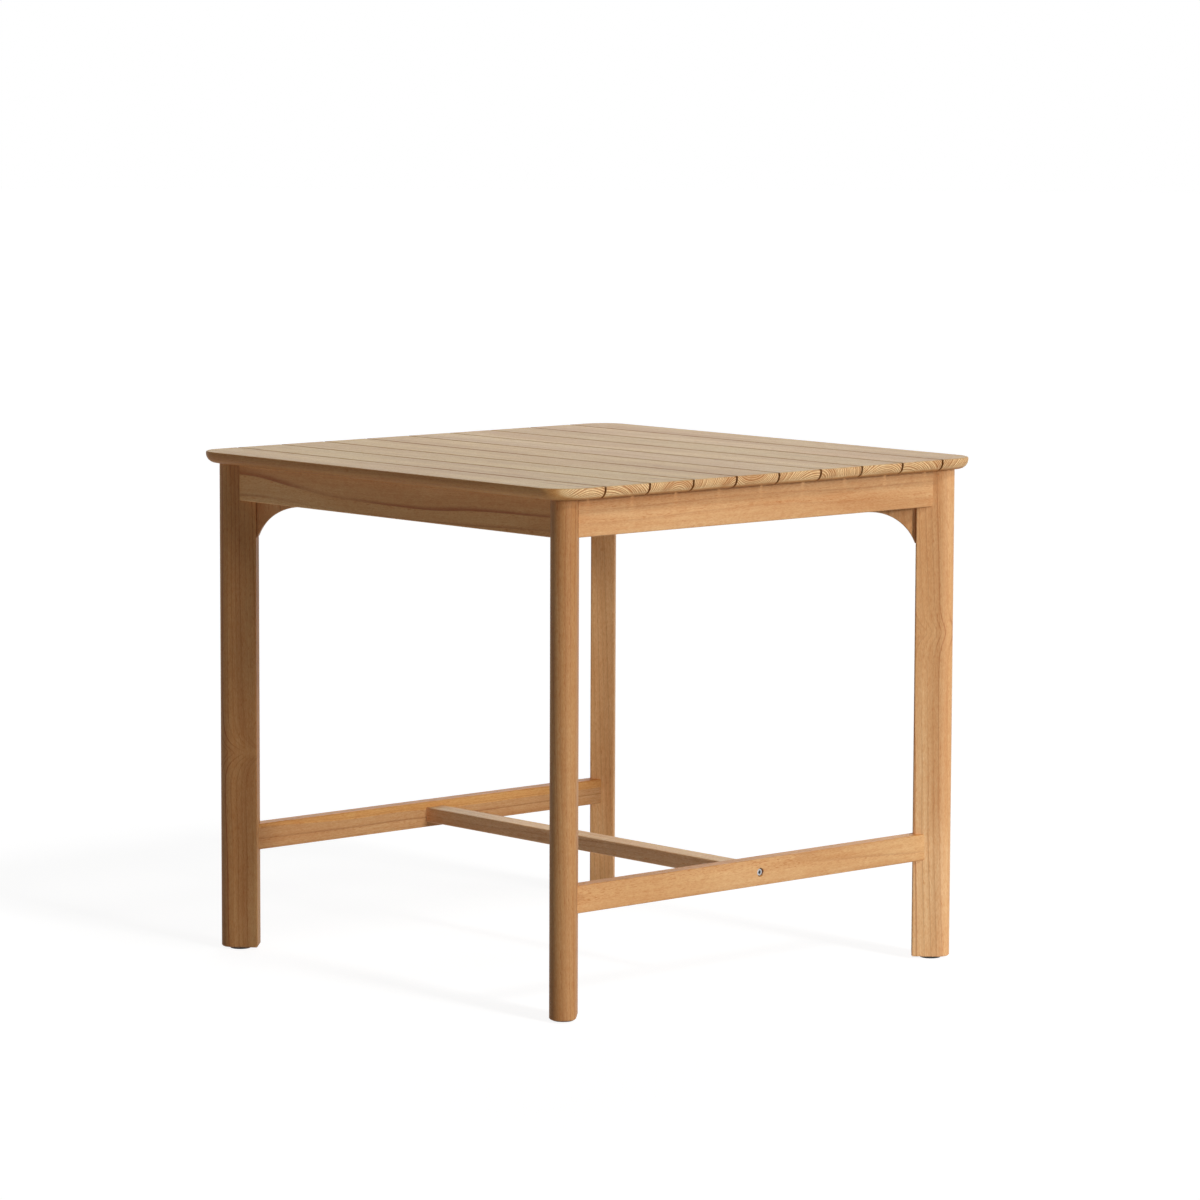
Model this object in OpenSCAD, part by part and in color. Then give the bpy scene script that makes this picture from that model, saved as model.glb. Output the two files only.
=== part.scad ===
// Square counter-height garden table in teak.
// Ten slats on four aprons, four diagonal legs with coved knee blocks, and a low H of stretchers.
// The slats run along X. The origin is on the floor under the middle of the top.

/* [Table] */
// Length of the top along its slats
table_w = 1000; // [900:10:1200]
// Depth of the top across its slats
table_d = 1000; // [900:10:1100]
// Height of the upper face above the floor
table_h = 907; // [720:1:1100]

/* [Top] */
// Number of slats
slat_count = 10; // [8:1:12]
// Open gap between two slats
slat_gap = 4.5; // [3:0.5:7]
// Thickness of the slats
top_t = 21; // [20:0.5:30]
// Radius of the top's four corners in plan
corner_r = 55; // [40:5:70]
// Radius of the convex curve under the top's edge
edge_round = 17; // [8:0.5:17]
// Radius between the upper face and the edge
top_arris = 2.5; // [1:0.5:3]
// Radius along the slats' long edges
slat_arris = 1.5; // [1:0.5:3]

/* [Legs] */
// Thickness of a leg, across the table's diagonal
leg_t = 46; // [40:1:50]
// Depth of a leg along the table's diagonal
leg_depth = 68; // [62:1:76]
// Distance on the diagonal from the top's square corner to the leg
leg_inset = 47; // [42:1:52]
// Radius of a leg's two inner arrises
leg_arris = 2.5; // [1:0.5:4]
// Chamfer round a leg's foot
foot_chamfer = 2; // [1:0.5:3]

/* [Glides] */
// Diameter of the plastic glide under a leg
glide_d = 38; // [30:1:42]
// Height of the glide
glide_h = 4; // [3:0.5:6]
// Chamfer round the glide's lower edge
glide_chamfer = 1; // [0.5:0.5:2]
// Diameter of the nail that holds a glide
nail_d = 3.2; // [2.6:0.2:4]
// Diameter of the nail's head
nail_head_d = 8; // [6:0.5:10]
// Thickness of the nail's head
nail_head_h = 1; // [0.6:0.2:1.4]
// Length of the nail in the leg
nail_l = 20; // [15:1:30]

/* [Aprons] */
// Height of the aprons
apron_h = 67; // [62:1:80]
// Thickness of the aprons
apron_t = 22; // [18:1:26]
// Distance from the top's edge to an apron's outer face
apron_inset = 44; // [40:1:48]
// Radius along the edges of aprons and braces
rail_arris = 2; // [1:0.5:3]
// Blunted tip of an apron's 45 degree end
apron_tip = 0.8; // [0.6:0.2:3]
// Thickness of an apron's tenon
apron_tenon_t = 8; // [6:1:10]
// Height of an apron's tenon
apron_tenon_h = 44; // [30:1:50]
// Length of an apron's tenon in the leg, along the apron
apron_tenon_l = 15; // [10:1:16]

/* [Knee blocks] */
// Thickness of a knee block, across the diagonal
knee_t = 30; // [26:1:36]
// Length of a knee block along the diagonal
knee_len = 90; // [86:1:100]
// Radius of the cove
cove_r = 83; // [81:1:86]
// Distance from the leg to the middle of the cove
cove_setback = 80; // [76:1:80]
// How far the crown of the cove lies below the aprons
crown_drop = 12; // [8:1:16]
// Thickness left at the lower tip
knee_tip = 2; // [1:0.2:3]
// Radius of the upright arrises
knee_arris = 2; // [1:0.5:3]
// Chamfer along the cove
cove_chamfer = 1.2; // [0.6:0.2:2]

/* [Stretchers] */
// Height of the side stretchers
side_stretcher_h = 47; // [40:1:54]
// Thickness of the side stretchers
side_stretcher_t = 30; // [26:1:34]
// Height of their lower face above the floor
side_stretcher_z = 180; // [120:5:300]
// Height of the middle stretcher
middle_stretcher_h = 27; // [25:1:34]
// Width of the middle stretcher
middle_stretcher_w = 42; // [38:1:50]
// Radius along the stretchers' edges
stretcher_arris = 2.5; // [1:0.5:4]
// Thickness of a side stretcher's tenon
stretcher_tenon_t = 10; // [8:1:12]
// Height of a side stretcher's tenon
stretcher_tenon_h = 26; // [20:1:32]
// Length of a side stretcher's tenon in the leg
stretcher_tenon_l = 16; // [10:1:18]

/* [Corner braces] */
// Height of the corner braces
brace_h = 44; // [40:1:46]
// Thickness of the corner braces
brace_t = 22; // [18:1:26]

/* [Ledgers and batten] */
// Width of the ledger strips
ledger_w = 22; // [20:1:26]
// Height of the ledger strips and of the batten
ledger_h = 20; // [18:1:22]
// Distance from the top's square corner to a ledger's end
ledger_end = 115; // [115:1:140]
// Width of the batten under the middle of the slats
batten_w = 50; // [40:1:60]
// Radius along the edges of ledgers and batten
ledger_arris = 1.5; // [1:0.5:3]

/* [Bolts] */
// Diameter of the bolts
bolt_d = 8; // [6:1:8]
// Width across the corners of a leg bolt's hexagonal head
hex_head_d = 15; // [12:0.5:15]
// Height of the hexagonal head
hex_head_h = 5.3; // [4:0.1:6]
// Length of a leg bolt's shank
leg_bolt_l = 130; // [128:1:136]
// Distance between the two bolts of one leg
leg_bolt_pitch = 22; // [20:1:24]
// Outer diameter of a washer
washer_d = 18; // [16:0.5:18]
// Thickness of a washer
washer_t = 1.6; // [1:0.1:2]
// Outer diameter of a threaded insert
insert_d = 12; // [10:0.5:12]
// Length of a threaded insert
insert_l = 20; // [16:1:22]
// Room for the bolt's end behind an insert
insert_room = 8; // [4:1:10]
// Diameter of a stretcher bolt's socket head
socket_head_d = 13; // [10:0.5:13]
// Height of the socket head
socket_head_h = 8; // [6:0.5:8]
// Width across the corners of the hexagonal socket
socket_d = 6.9; // [5:0.1:7]
// Depth of the hexagonal socket
socket_depth = 4; // [3:0.5:5]
// Length of a stretcher bolt's shank
stretcher_bolt_l = 65; // [60:1:75]
// Diameter of the counterbore for the socket head
counterbore_d = 15.6; // [14:0.2:16]
// How deep the socket head sits under the wood's face
head_recess = 2.5; // [0.5:0.5:4]
// Diameter of a barrel nut
barrel_d = 12; // [10:0.5:14]
// Length of a barrel nut
barrel_l = 20; // [16:1:20]
// Distance from the middle stretcher's end to the barrel nut
barrel_setback = 34; // [28:1:38]
// Diameter of the dowels
dowel_d = 8; // [6:1:10]
// Length of the dowels
dowel_l = 36; // [30:2:40]
// Distance of the bolt and of the dowel from the middle stretcher's centre line
bolt_offset = 10; // [8:0.5:11]

/* [Screws] */
// Shank diameter of the screws
screw_d = 4; // [3:0.5:5]
// Head diameter of the screws
screw_head_d = 8; // [7:0.5:9]
// Height of a countersunk head
screw_head_h = 2.4; // [2:0.2:3]
// Depth that a screw reaches into the piece it holds
screw_grip = 12; // [10:1:13]
// Number of screws from a front or back ledger up into its slat
end_slat_screws = 5; // [3:2:7]
// Distance from the ledger's end to the first of them
end_screw_margin = 105; // [100:5:110]
// Number of screws from a ledger into its apron
ledger_screw_count = 4; // [2:2:6]
// Distance from the ledger's end to the first of them
ledger_screw_margin = 85; // [80:5:90]
// Distance between the two screws at each end of a brace
brace_screw_pitch = 20; // [16:1:24]
// Distance from a brace screw's head to the apron
brace_screw_seat = 10; // [8:1:12]

/* [Fits] */
// Clearance round a tenon, insert, nut or dowel, on each side
joint_fit = 0.15; // [0.1:0.05:0.4]
// Clearance round a bolt, on each side
bolt_fit = 0.3; // [0.2:0.1:0.6]
// Clearance round a screw or nail, on each side
screw_fit = 0.1; // [0.05:0.05:0.3]

/* [Hidden] */

$fn = 48;
diag = sqrt(2);
// How far a cut runs past the face that it opens, and a lap by which two volumes of one solid join
overrun = 1;
lap = 0.01;

// Heights
slat_z = table_h - top_t;
apron_z = slat_z - apron_h;
ledger_z = slat_z - ledger_h;
brace_z = ledger_z - brace_h;
stretcher_mid_z = side_stretcher_z + side_stretcher_h / 2;
apron_mid_z = apron_z + apron_h / 2;

// Slats, counted from the front edge
slat_pitch = (table_d + slat_gap) / slat_count;
slat_w = slat_pitch - slat_gap;
rim_round = min(edge_round, top_t - top_arris);
function slat_front(i) = -table_d / 2 + i * slat_pitch;
function slat_mid(i) = slat_front(i) + slat_w / 2;

// Places on the diagonal, measured inwards from the top's square corner
leg_end = leg_inset + leg_depth;
knee_end = leg_end + knee_len;
brace_end = knee_end + brace_t;
washer_end = brace_end + washer_t;
cove_mid = leg_end + cove_setback;
cove_z = apron_z - crown_drop - cove_r;
cove_flare = cove_r + cove_chamfer;
knee_tip_z = cove_z + sqrt(pow(cove_r, 2) - pow(cove_setback - knee_tip, 2));
insert_end = leg_end - insert_l;
insert_bore_end = insert_end - insert_room;
leg_bolt_mid_z = brace_z + brace_h / 2;
leg_bolt_zs = [leg_bolt_mid_z - leg_bolt_pitch / 2, leg_bolt_mid_z + leg_bolt_pitch / 2];

// Places in a quarter of the plan, measured inwards from the top's edges
apron_mid = apron_inset + apron_t / 2;
apron_in = apron_inset + apron_t;
ledger_mid = apron_in + ledger_w / 2;
ledger_in = apron_in + ledger_w;
side_to_side = leg_t / diag;
stretcher_mid = (leg_end - leg_t / 2) / diag;
stretcher_arris_place = (leg_end + leg_t / 2) / diag;
stretcher_out = stretcher_mid - side_stretcher_t / 2;
stretcher_in = stretcher_mid + side_stretcher_t / 2;
brace_patch_mid = (knee_end + brace_end) / 2 * diag - apron_in;
brace_screw_head = apron_in + brace_screw_seat;

corners = [[-1, -1], [1, -1], [1, 1], [-1, 1]];
teak = [0.80, 0.61, 0.40];
teak_shade = [0.72, 0.52, 0.33];
zinc = [0.72, 0.73, 0.74];
brass = [0.72, 0.60, 0.33];
plastic = [0.12, 0.11, 0.12];

// Frames and small shapes

// Draws in the quarter of one corner: +X and +Y point inwards from the top's square corner.
module in_corner(i) {
    sx = corners[i][0];
    sy = corners[i][1];
    translate([sx * table_w / 2, sy * table_d / 2, 0])
        rotate([0, 0, sy > 0 ? 180 : 0])
            if (sx * sy < 0)
                mirror([1, 0, 0]) children();
            else
                children();
}

// Turns +X onto the diagonal of a corner's quarter.
module on_diagonal() {
    rotate([0, 0, 45]) children();
}

// Draws a shape and its mirror image across the diagonal of a corner's quarter.
module both_sides() {
    children();
    mirror([1, -1, 0]) children();
}

// Extrudes a section, drawn in Y and Z, along X.
module along_x(from, to) {
    translate([from, 0, 0])
        rotate([90, 0, 90])
            linear_extrude(height = to - from) children();
}

// Extrudes a section, drawn in X and Z, along Y.
module along_y(from, to) {
    translate([0, to, 0])
        rotate([90, 0, 0])
            linear_extrude(height = to - from) children();
}

// A rectangle with round corners, from its lower left corner.
module eased_rect(w, h, r) {
    translate([r, 0]) square([w - 2 * r, h]);
    translate([0, r]) square([w, h - 2 * r]);
    for (x = [r, w - r], y = [r, h - r])
        translate([x, y]) circle(r = r);
}

// A slot section with round ends, centred.
module slot_section(w, h) {
    square([w, h - w], center = true);
    for (s = [-1, 1])
        translate([0, s * (h - w) / 2]) circle(d = w);
}

// A bore or pin along X.
module x_rod(from, to, d) {
    translate([from, 0, 0])
        rotate([0, 90, 0]) cylinder(h = to - from, d = d);
}

// A countersunk screw: its head lies at the origin and it points along +Z.
module screw(length, fit = 0) {
    head = screw_head_d / 2 + fit;
    shank = screw_d / 2 + fit;
    cylinder(h = screw_head_h, r1 = head, r2 = shank);
    translate([0, 0, screw_head_h - lap]) cylinder(h = length - screw_head_h + lap + fit, r = shank);
}

// The top

// Section of the top's rim: the edge lies at x = 0 and the wood at x < 0.
module rim_section(len) {
    translate([-len, 0]) square([len - rim_round, top_t]);
    translate([-rim_round, rim_round]) square([rim_round - top_arris, top_t - rim_round]);
    translate([-top_arris, rim_round]) square([top_arris, top_t - top_arris - rim_round]);
    translate([-top_arris, top_t - top_arris]) circle(r = top_arris);
    intersection() {
        translate([-rim_round, rim_round]) circle(r = rim_round, $fn = 96);
        translate([-rim_round, 0]) square(rim_round);
    }
}

// Section of the whole top across X, with a rim at both ends.
module full_section() {
    translate([table_w / 2, 0]) rim_section(table_w / 2);
    mirror([1, 0]) translate([table_w / 2, 0]) rim_section(table_w / 2);
}

// The front slat's blank, with the rim along its front and round its two corners.
module front_blank() {
    front = -table_d / 2;
    side = table_w / 2 - corner_r;
    along_y(front + corner_r, front + slat_w) full_section();
    mirror([0, 1, 0])
        along_x(-side, side)
            translate([-front, 0]) rim_section(corner_r);
    for (s = [0, 1])
        mirror([s, 0, 0])
            translate([side, front + corner_r, 0])
                rotate([0, 0, -90]) rotate_extrude(angle = 90) corner_section();
}

// The rim's section turned round a corner.
module corner_section() {
    intersection() {
        translate([corner_r, 0]) rim_section(corner_r);
        square([corner_r, top_t]);
    }
}

// Long bar with eased edges that cuts slat i out of the top.
module slat_bar(i) {
    extra_front = i == 0 ? corner_r : 0;
    extra_back = i == slat_count - 1 ? corner_r : 0;
    along_x(-table_w / 2, table_w / 2)
        translate([slat_front(i) - extra_front, 0])
            eased_rect(slat_w + extra_front + extra_back, top_t, slat_arris);
}

module slat(i) {
    color(teak)
        difference() {
            translate([0, 0, slat_z])
                intersection() {
                    slat_bar(i);
                    if (i == 0)
                        front_blank();
                    else if (i == slat_count - 1)
                        rotate([0, 0, 180]) front_blank();
                    else
                        along_y(slat_front(i), slat_front(i) + slat_w) full_section();
                }
            slat_screw_set(i, screw_fit);
        }
}

// Screws that hold slat i from below.
module slat_screw_set(i, fit = 0) {
    length = ledger_h + screw_grip;
    ledger_x = table_w / 2 - ledger_mid;
    ledger_y = table_d / 2 - ledger_mid;
    outer = i == 0 || i == slat_count - 1;
    side = i == 0 ? -1 : 1;
    pitch = (table_w - 2 * ledger_end - 2 * end_screw_margin) / (end_slat_screws - 1);
    translate([0, 0, ledger_z]) {
        if (outer)
            for (k = [0 : end_slat_screws - 1])
                translate([(k - (end_slat_screws - 1) / 2) * pitch, side * ledger_y, 0])
                    screw(length, fit);
        if (!outer)
            for (x = [-ledger_x, ledger_x])
                translate([x, slat_mid(i), 0]) screw(length, fit);
        if (!outer)
            for (s = [-1, 1])
                translate([0, slat_mid(i) + s * slat_w / 4, 0]) screw(length, fit);
    }
}

// Aprons, ledgers and batten

// Outline in plan of an apron for a side of length len. The top's edge is at y = 0.
module apron_plan(len) {
    out = len / 2 - apron_inset - side_to_side;
    in = out - apron_t;
    polygon([
        [-out + apron_tip, apron_inset], [out - apron_tip, apron_inset],
        [out - apron_tip, apron_inset + apron_tip], [in, apron_in],
        [-in, apron_in], [-out + apron_tip, apron_inset + apron_tip]
    ]);
}

// A tenon along Y, drawn in a corner's quarter: the apron beside the quarter's Y axis.
module apron_tenon(fit = 0) {
    shoulder = apron_mid + side_to_side;
    translate([apron_mid, 0, apron_mid_z])
        along_y(shoulder - apron_tenon_l - fit, shoulder + apron_t)
            slot_section(apron_tenon_t + 2 * fit, apron_tenon_h + 2 * fit);
}

// Screws from a ledger into its apron. The top's edge is at y = 0.
module ledger_screw_row(len, fit = 0) {
    pitch = (len - 2 * ledger_end - 2 * ledger_screw_margin) / (ledger_screw_count - 1);
    for (k = [0 : ledger_screw_count - 1])
        translate([(k - (ledger_screw_count - 1) / 2) * pitch, ledger_in, ledger_z + ledger_h / 2])
            rotate([90, 0, 0]) screw(ledger_w + screw_grip, fit);
}

// Turns a side drawn on the front edge, at y = 0, to side k: front, right, back, left.
module on_side(k) {
    half = k % 2 == 0 ? table_d / 2 : table_w / 2;
    rotate([0, 0, 90 * k]) translate([0, -half, 0]) children();
}

function side_len(k) = k % 2 == 0 ? table_w : table_d;

module apron(k) {
    len = side_len(k);
    color(teak_shade)
        difference() {
            union() {
                on_side(k)
                    intersection() {
                        translate([0, 0, apron_z]) linear_extrude(height = apron_h) apron_plan(len);
                        along_x(-len / 2, len / 2)
                            translate([apron_inset, apron_z]) eased_rect(apron_t, apron_h, rail_arris);
                    }
                on_side(k)
                    for (s = [0, 1])
                        mirror([s, 0, 0])
                            translate([-len / 2, 0, 0])
                                mirror([1, -1, 0]) apron_tenon();
            }
            on_side(k) ledger_screw_row(len, screw_fit);
            for (i = [0 : 3])
                in_corner(i) both_sides() brace_screw_pair(screw_fit);
        }
}

module ledger(k) {
    len = side_len(k);
    color(teak_shade)
        difference() {
            on_side(k)
                along_x(-len / 2 + ledger_end, len / 2 - ledger_end)
                    translate([apron_in, ledger_z]) eased_rect(ledger_w, ledger_h, ledger_arris);
            on_side(k) ledger_screw_row(len, screw_fit);
            for (i = [0 : slat_count - 1])
                slat_screw_set(i, screw_fit);
        }
}

module centre_batten() {
    reach = table_d / 2 - ledger_in;
    color(teak_shade)
        difference() {
            along_y(-reach, reach)
                translate([-batten_w / 2, ledger_z]) eased_rect(batten_w, ledger_h, ledger_arris);
            for (i = [1 : slat_count - 2])
                slat_screw_set(i, screw_fit);
        }
}

// Legs and glides

// Section of a leg in plan, on the diagonal.
module leg_section() {
    mid = leg_inset + leg_t / 2;
    translate([mid, 0]) circle(d = leg_t, $fn = 96);
    translate([mid, -leg_t / 2]) square([leg_end - mid - leg_arris, leg_t]);
    translate([mid, -leg_t / 2 + leg_arris]) square([leg_end - mid, leg_t - 2 * leg_arris]);
    for (s = [-1, 1])
        translate([leg_end - leg_arris, s * (leg_t / 2 - leg_arris)]) circle(r = leg_arris);
}

// The foot's chamfer: what lies inside it is kept.
module foot_taper() {
    mid = leg_inset + leg_t / 2;
    small = leg_t / 2 - foot_chamfer;
    big = leg_t / 2;
    translate([mid, 0, 0]) cylinder(h = foot_chamfer, r1 = small, r2 = big, $fn = 96);
    intersection() {
        along_x(mid, leg_end)
            polygon([[-small, 0], [small, 0], [big, foot_chamfer], [-big, foot_chamfer]]);
        along_y(-leg_t, leg_t)
            polygon([
                [mid, 0], [leg_end - foot_chamfer, 0],
                [leg_end, foot_chamfer], [mid, foot_chamfer]
            ]);
    }
}

// The stretcher's tenon along Y, in a corner's quarter.
module stretcher_tenon(fit = 0) {
    tip = stretcher_arris_place - stretcher_tenon_l - fit;
    translate([stretcher_mid, 0, stretcher_mid_z])
        along_y(tip, stretcher_arris_place + side_stretcher_t)
            slot_section(stretcher_tenon_t + 2 * fit, stretcher_tenon_h + 2 * fit);
}

module leg(i) {
    color(teak)
        in_corner(i)
            difference() {
                on_diagonal() {
                    translate([0, 0, glide_h + foot_chamfer])
                        linear_extrude(height = slat_z - glide_h - foot_chamfer) leg_section();
                    translate([0, 0, glide_h])
                        intersection() {
                            linear_extrude(height = foot_chamfer) leg_section();
                            foot_taper();
                        }
                }
                both_sides() apron_tenon(joint_fit);
                stretcher_tenon(joint_fit);
                on_diagonal() {
                    for (z = leg_bolt_zs)
                        translate([0, 0, z])
                            x_rod(insert_bore_end, leg_end + overrun, insert_d + 2 * joint_fit);
                    glide_nail(screw_fit);
                }
            }
}

module glide(i) {
    mid = leg_inset + leg_depth / 2;
    small = glide_d - 2 * glide_chamfer;
    color(plastic)
        in_corner(i)
            on_diagonal()
                difference() {
                    translate([mid, 0, 0]) {
                        cylinder(h = glide_chamfer, d1 = small, d2 = glide_d, $fn = 64);
                        translate([0, 0, glide_chamfer])
                            cylinder(h = glide_h - glide_chamfer, d = glide_d, $fn = 64);
                    }
                    glide_nail(screw_fit, glide_h / 2);
                }
}

// The glide's nail on the diagonal. The space below its head is cut too where below is given.
module glide_nail(fit = 0, below = 0) {
    translate([leg_inset + leg_depth / 2, 0, glide_h / 2]) {
        cylinder(h = glide_h / 2 + nail_l + fit, d = nail_d + 2 * fit);
        translate([0, 0, -nail_head_h - below])
            cylinder(h = nail_head_h + below, d = nail_head_d + 2 * fit);
    }
}

module glide_nails() {
    color(zinc)
        for (i = [0 : 3])
            in_corner(i) on_diagonal() glide_nail();
}

// Knee blocks and corner braces

// Side view of a knee block on the diagonal.
module knee_profile() {
    difference() {
        translate([leg_end, knee_tip_z]) square([knee_len, slat_z - knee_tip_z]);
        translate([cove_mid, cove_z]) circle(r = cove_r, $fn = 180);
        translate([cove_mid, cove_z]) square([knee_len, cove_r]);
    }
}

module knee(i) {
    color(teak_shade)
        in_corner(i)
            on_diagonal()
                difference() {
                    intersection() {
                        along_y(-knee_t / 2, knee_t / 2) knee_profile();
                        translate([leg_end, -knee_t / 2, 0])
                            linear_extrude(height = slat_z) eased_rect(knee_len, knee_t, knee_arris);
                    }
                    for (s = [0, 1])
                        mirror([0, s, 0])
                            translate([cove_mid, knee_t / 2 - cove_chamfer, cove_z])
                                rotate([-90, 0, 0])
                                    cylinder(h = cove_chamfer, r1 = cove_r, r2 = cove_flare, $fn = 180);
                    for (z = leg_bolt_zs)
                        translate([0, 0, z])
                            x_rod(leg_end - overrun, knee_end + overrun, bolt_d + 2 * bolt_fit);
                }
}

// Screws from a brace into the apron beside the quarter's Y axis.
module brace_screw_pair(fit = 0) {
    for (s = [-1, 1])
        translate([brace_screw_head, brace_patch_mid, leg_bolt_mid_z + s * brace_screw_pitch / 2])
            rotate([0, -90, 0]) screw(brace_screw_seat + screw_grip, fit);
}

// Counterbores that sink the brace screws' heads.
module brace_screw_access() {
    for (s = [-1, 1])
        translate([0, brace_patch_mid, leg_bolt_mid_z + s * brace_screw_pitch / 2])
            x_rod(brace_screw_head, brace_screw_head + brace_t, screw_head_d + 2 * screw_fit);
}

module corner_brace(i) {
    half_out = knee_end - apron_in * diag;
    half_in = brace_end - apron_in * diag;
    color(teak_shade)
        in_corner(i)
            difference() {
                on_diagonal()
                    translate([0, 0, brace_z])
                        linear_extrude(height = brace_h)
                            polygon([
                                [knee_end, -half_out], [knee_end, half_out],
                                [brace_end, half_in], [brace_end, -half_in]
                            ]);
                on_diagonal()
                    for (z = leg_bolt_zs)
                        translate([0, 0, z])
                            x_rod(knee_end - overrun, brace_end + overrun, bolt_d + 2 * bolt_fit);
                both_sides() {
                    brace_screw_pair(screw_fit);
                    brace_screw_access();
                }
            }
}

// Stretchers

// Outline in plan of a side stretcher, V-notched over the legs' inner arrises. It runs along Y.
module side_stretcher_plan() {
    tip = table_d / 2 - stretcher_arris_place + side_stretcher_t / 2;
    notch = table_d / 2 - stretcher_arris_place;
    half = side_stretcher_t / 2;
    polygon([
        [-half, -tip], [0, -notch], [half, -tip],
        [half, tip], [0, notch], [-half, tip]
    ]);
}

module side_stretcher(s) {
    mid = s * (table_w / 2 - stretcher_mid);
    color(teak)
        difference() {
            union() {
                intersection() {
                    translate([mid, 0, side_stretcher_z])
                        linear_extrude(height = side_stretcher_h) side_stretcher_plan();
                    along_y(-table_d / 2, table_d / 2)
                        translate([mid - side_stretcher_t / 2, side_stretcher_z])
                            eased_rect(side_stretcher_t, side_stretcher_h, stretcher_arris);
                }
                for (i = [0 : 3])
                    if (corners[i][0] == s)
                        in_corner(i) stretcher_tenon();
            }
            stretcher_end(s) {
                stretcher_bolt(bolt_fit, counterbore_d);
                stretcher_dowel(joint_fit);
            }
        }
}

// Draws at one end of the middle stretcher: +X points along it, from the side stretcher's outer face.
module stretcher_end(s) {
    translate([s * (table_w / 2 - stretcher_out), 0, stretcher_mid_z])
        mirror([s > 0 ? 1 : 0, 0, 0]) children();
}

// The bolt of one end. With fit and bore it is the cut for the bolt and its head.
module stretcher_bolt(fit = 0, bore = 0) {
    seat = head_recess + socket_head_h;
    translate([0, bolt_offset, 0])
        difference() {
            union() {
                x_rod(seat - lap, seat + stretcher_bolt_l + fit, bolt_d + 2 * fit);
                x_rod(bore > 0 ? -overrun : head_recess, seat, bore > 0 ? bore : socket_head_d);
            }
            if (bore == 0)
                x_rod_hex(head_recess - overrun, head_recess + socket_depth, socket_d);
        }
}

// A six-sided bore along X.
module x_rod_hex(from, to, d) {
    translate([from, 0, 0])
        rotate([0, 90, 0]) cylinder(h = to - from, d = d, $fn = 6);
}

module barrel_nut(fit = 0, below = 0) {
    translate([side_stretcher_t + barrel_setback, bolt_offset, -barrel_l / 2 - below])
        cylinder(h = barrel_l + below + fit, d = barrel_d + 2 * fit);
}

module stretcher_dowel(fit = 0) {
    reach = dowel_l / 2 + fit;
    translate([0, -bolt_offset, 0])
        x_rod(side_stretcher_t - reach, side_stretcher_t + reach, dowel_d + 2 * fit);
}

module middle_stretcher() {
    reach = table_w / 2 - stretcher_in;
    color(teak)
        difference() {
            along_x(-reach, reach)
                translate([-middle_stretcher_w / 2, stretcher_mid_z - middle_stretcher_h / 2])
                    eased_rect(middle_stretcher_w, middle_stretcher_h, stretcher_arris);
            for (s = [-1, 1])
                stretcher_end(s) {
                    stretcher_bolt(bolt_fit, counterbore_d);
                    barrel_nut(joint_fit, middle_stretcher_h);
                    stretcher_dowel(joint_fit);
                }
        }
}

module stretcher_bolts() {
    color(zinc)
        for (s = [-1, 1])
            stretcher_end(s) stretcher_bolt();
}

module stretcher_barrel_nuts() {
    color(brass)
        for (s = [-1, 1])
            difference() {
                stretcher_end(s) barrel_nut();
                stretcher_end(s) stretcher_bolt(screw_fit, counterbore_d);
            }
}

module stretcher_dowels() {
    color(teak)
        for (s = [-1, 1])
            stretcher_end(s) stretcher_dowel();
}

// Leg bolts, washers, inserts and screws

module leg_bolts() {
    color(zinc)
        for (i = [0 : 3], z = leg_bolt_zs)
            in_corner(i)
                on_diagonal()
                    translate([0, 0, z]) {
                        x_rod(washer_end - leg_bolt_l, washer_end + lap, bolt_d);
                        x_rod_hex(washer_end, washer_end + hex_head_h, hex_head_d);
                    }
}

module leg_bolt_washers() {
    color(zinc)
        for (i = [0 : 3], z = leg_bolt_zs)
            in_corner(i)
                on_diagonal()
                    translate([0, 0, z])
                        difference() {
                            x_rod(brace_end, washer_end, washer_d);
                            x_rod(brace_end - overrun, washer_end + overrun, bolt_d + 2 * bolt_fit);
                        }
}

module leg_inserts() {
    color(brass)
        for (i = [0 : 3], z = leg_bolt_zs)
            in_corner(i)
                on_diagonal()
                    translate([0, 0, z])
                        difference() {
                            x_rod(insert_end, leg_end, insert_d);
                            x_rod(insert_end - overrun, leg_end + overrun, bolt_d + 2 * screw_fit);
                        }
}

module slat_screws() {
    color(zinc)
        for (i = [0 : slat_count - 1])
            slat_screw_set(i);
}

module ledger_screws() {
    color(zinc)
        for (k = [0 : 3])
            on_side(k) ledger_screw_row(side_len(k));
}

module brace_screws() {
    color(zinc)
        for (i = [0 : 3])
            in_corner(i) both_sides() brace_screw_pair();
}

slat(0);  // slat_01
slat(1);  // slat_02
slat(2);  // slat_03
slat(3);  // slat_04
slat(4);  // slat_05
slat(5);  // slat_06
slat(6);  // slat_07
slat(7);  // slat_08
slat(8);  // slat_09
slat(9);  // slat_10
apron(0);  // apron_front
apron(1);  // apron_right
apron(2);  // apron_back
apron(3);  // apron_left
leg(0);  // leg_front_left
leg(1);  // leg_front_right
leg(2);  // leg_back_right
leg(3);  // leg_back_left
knee(0);  // knee_front_left
knee(1);  // knee_front_right
knee(2);  // knee_back_right
knee(3);  // knee_back_left
corner_brace(0);  // corner_brace_front_left
corner_brace(1);  // corner_brace_front_right
corner_brace(2);  // corner_brace_back_right
corner_brace(3);  // corner_brace_back_left
ledger(0);  // ledger_front
ledger(1);  // ledger_right
ledger(2);  // ledger_back
ledger(3);  // ledger_left
centre_batten();
side_stretcher(-1);  // side_stretcher_left
side_stretcher(1);  // side_stretcher_right
middle_stretcher();
glide(0);  // glide_front_left
glide(1);  // glide_front_right
glide(2);  // glide_back_right
glide(3);  // glide_back_left
leg_bolts();
leg_bolt_washers();
leg_inserts();
stretcher_bolts();
stretcher_barrel_nuts();
stretcher_dowels();
slat_screws();
ledger_screws();
brace_screws();
glide_nails();
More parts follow.
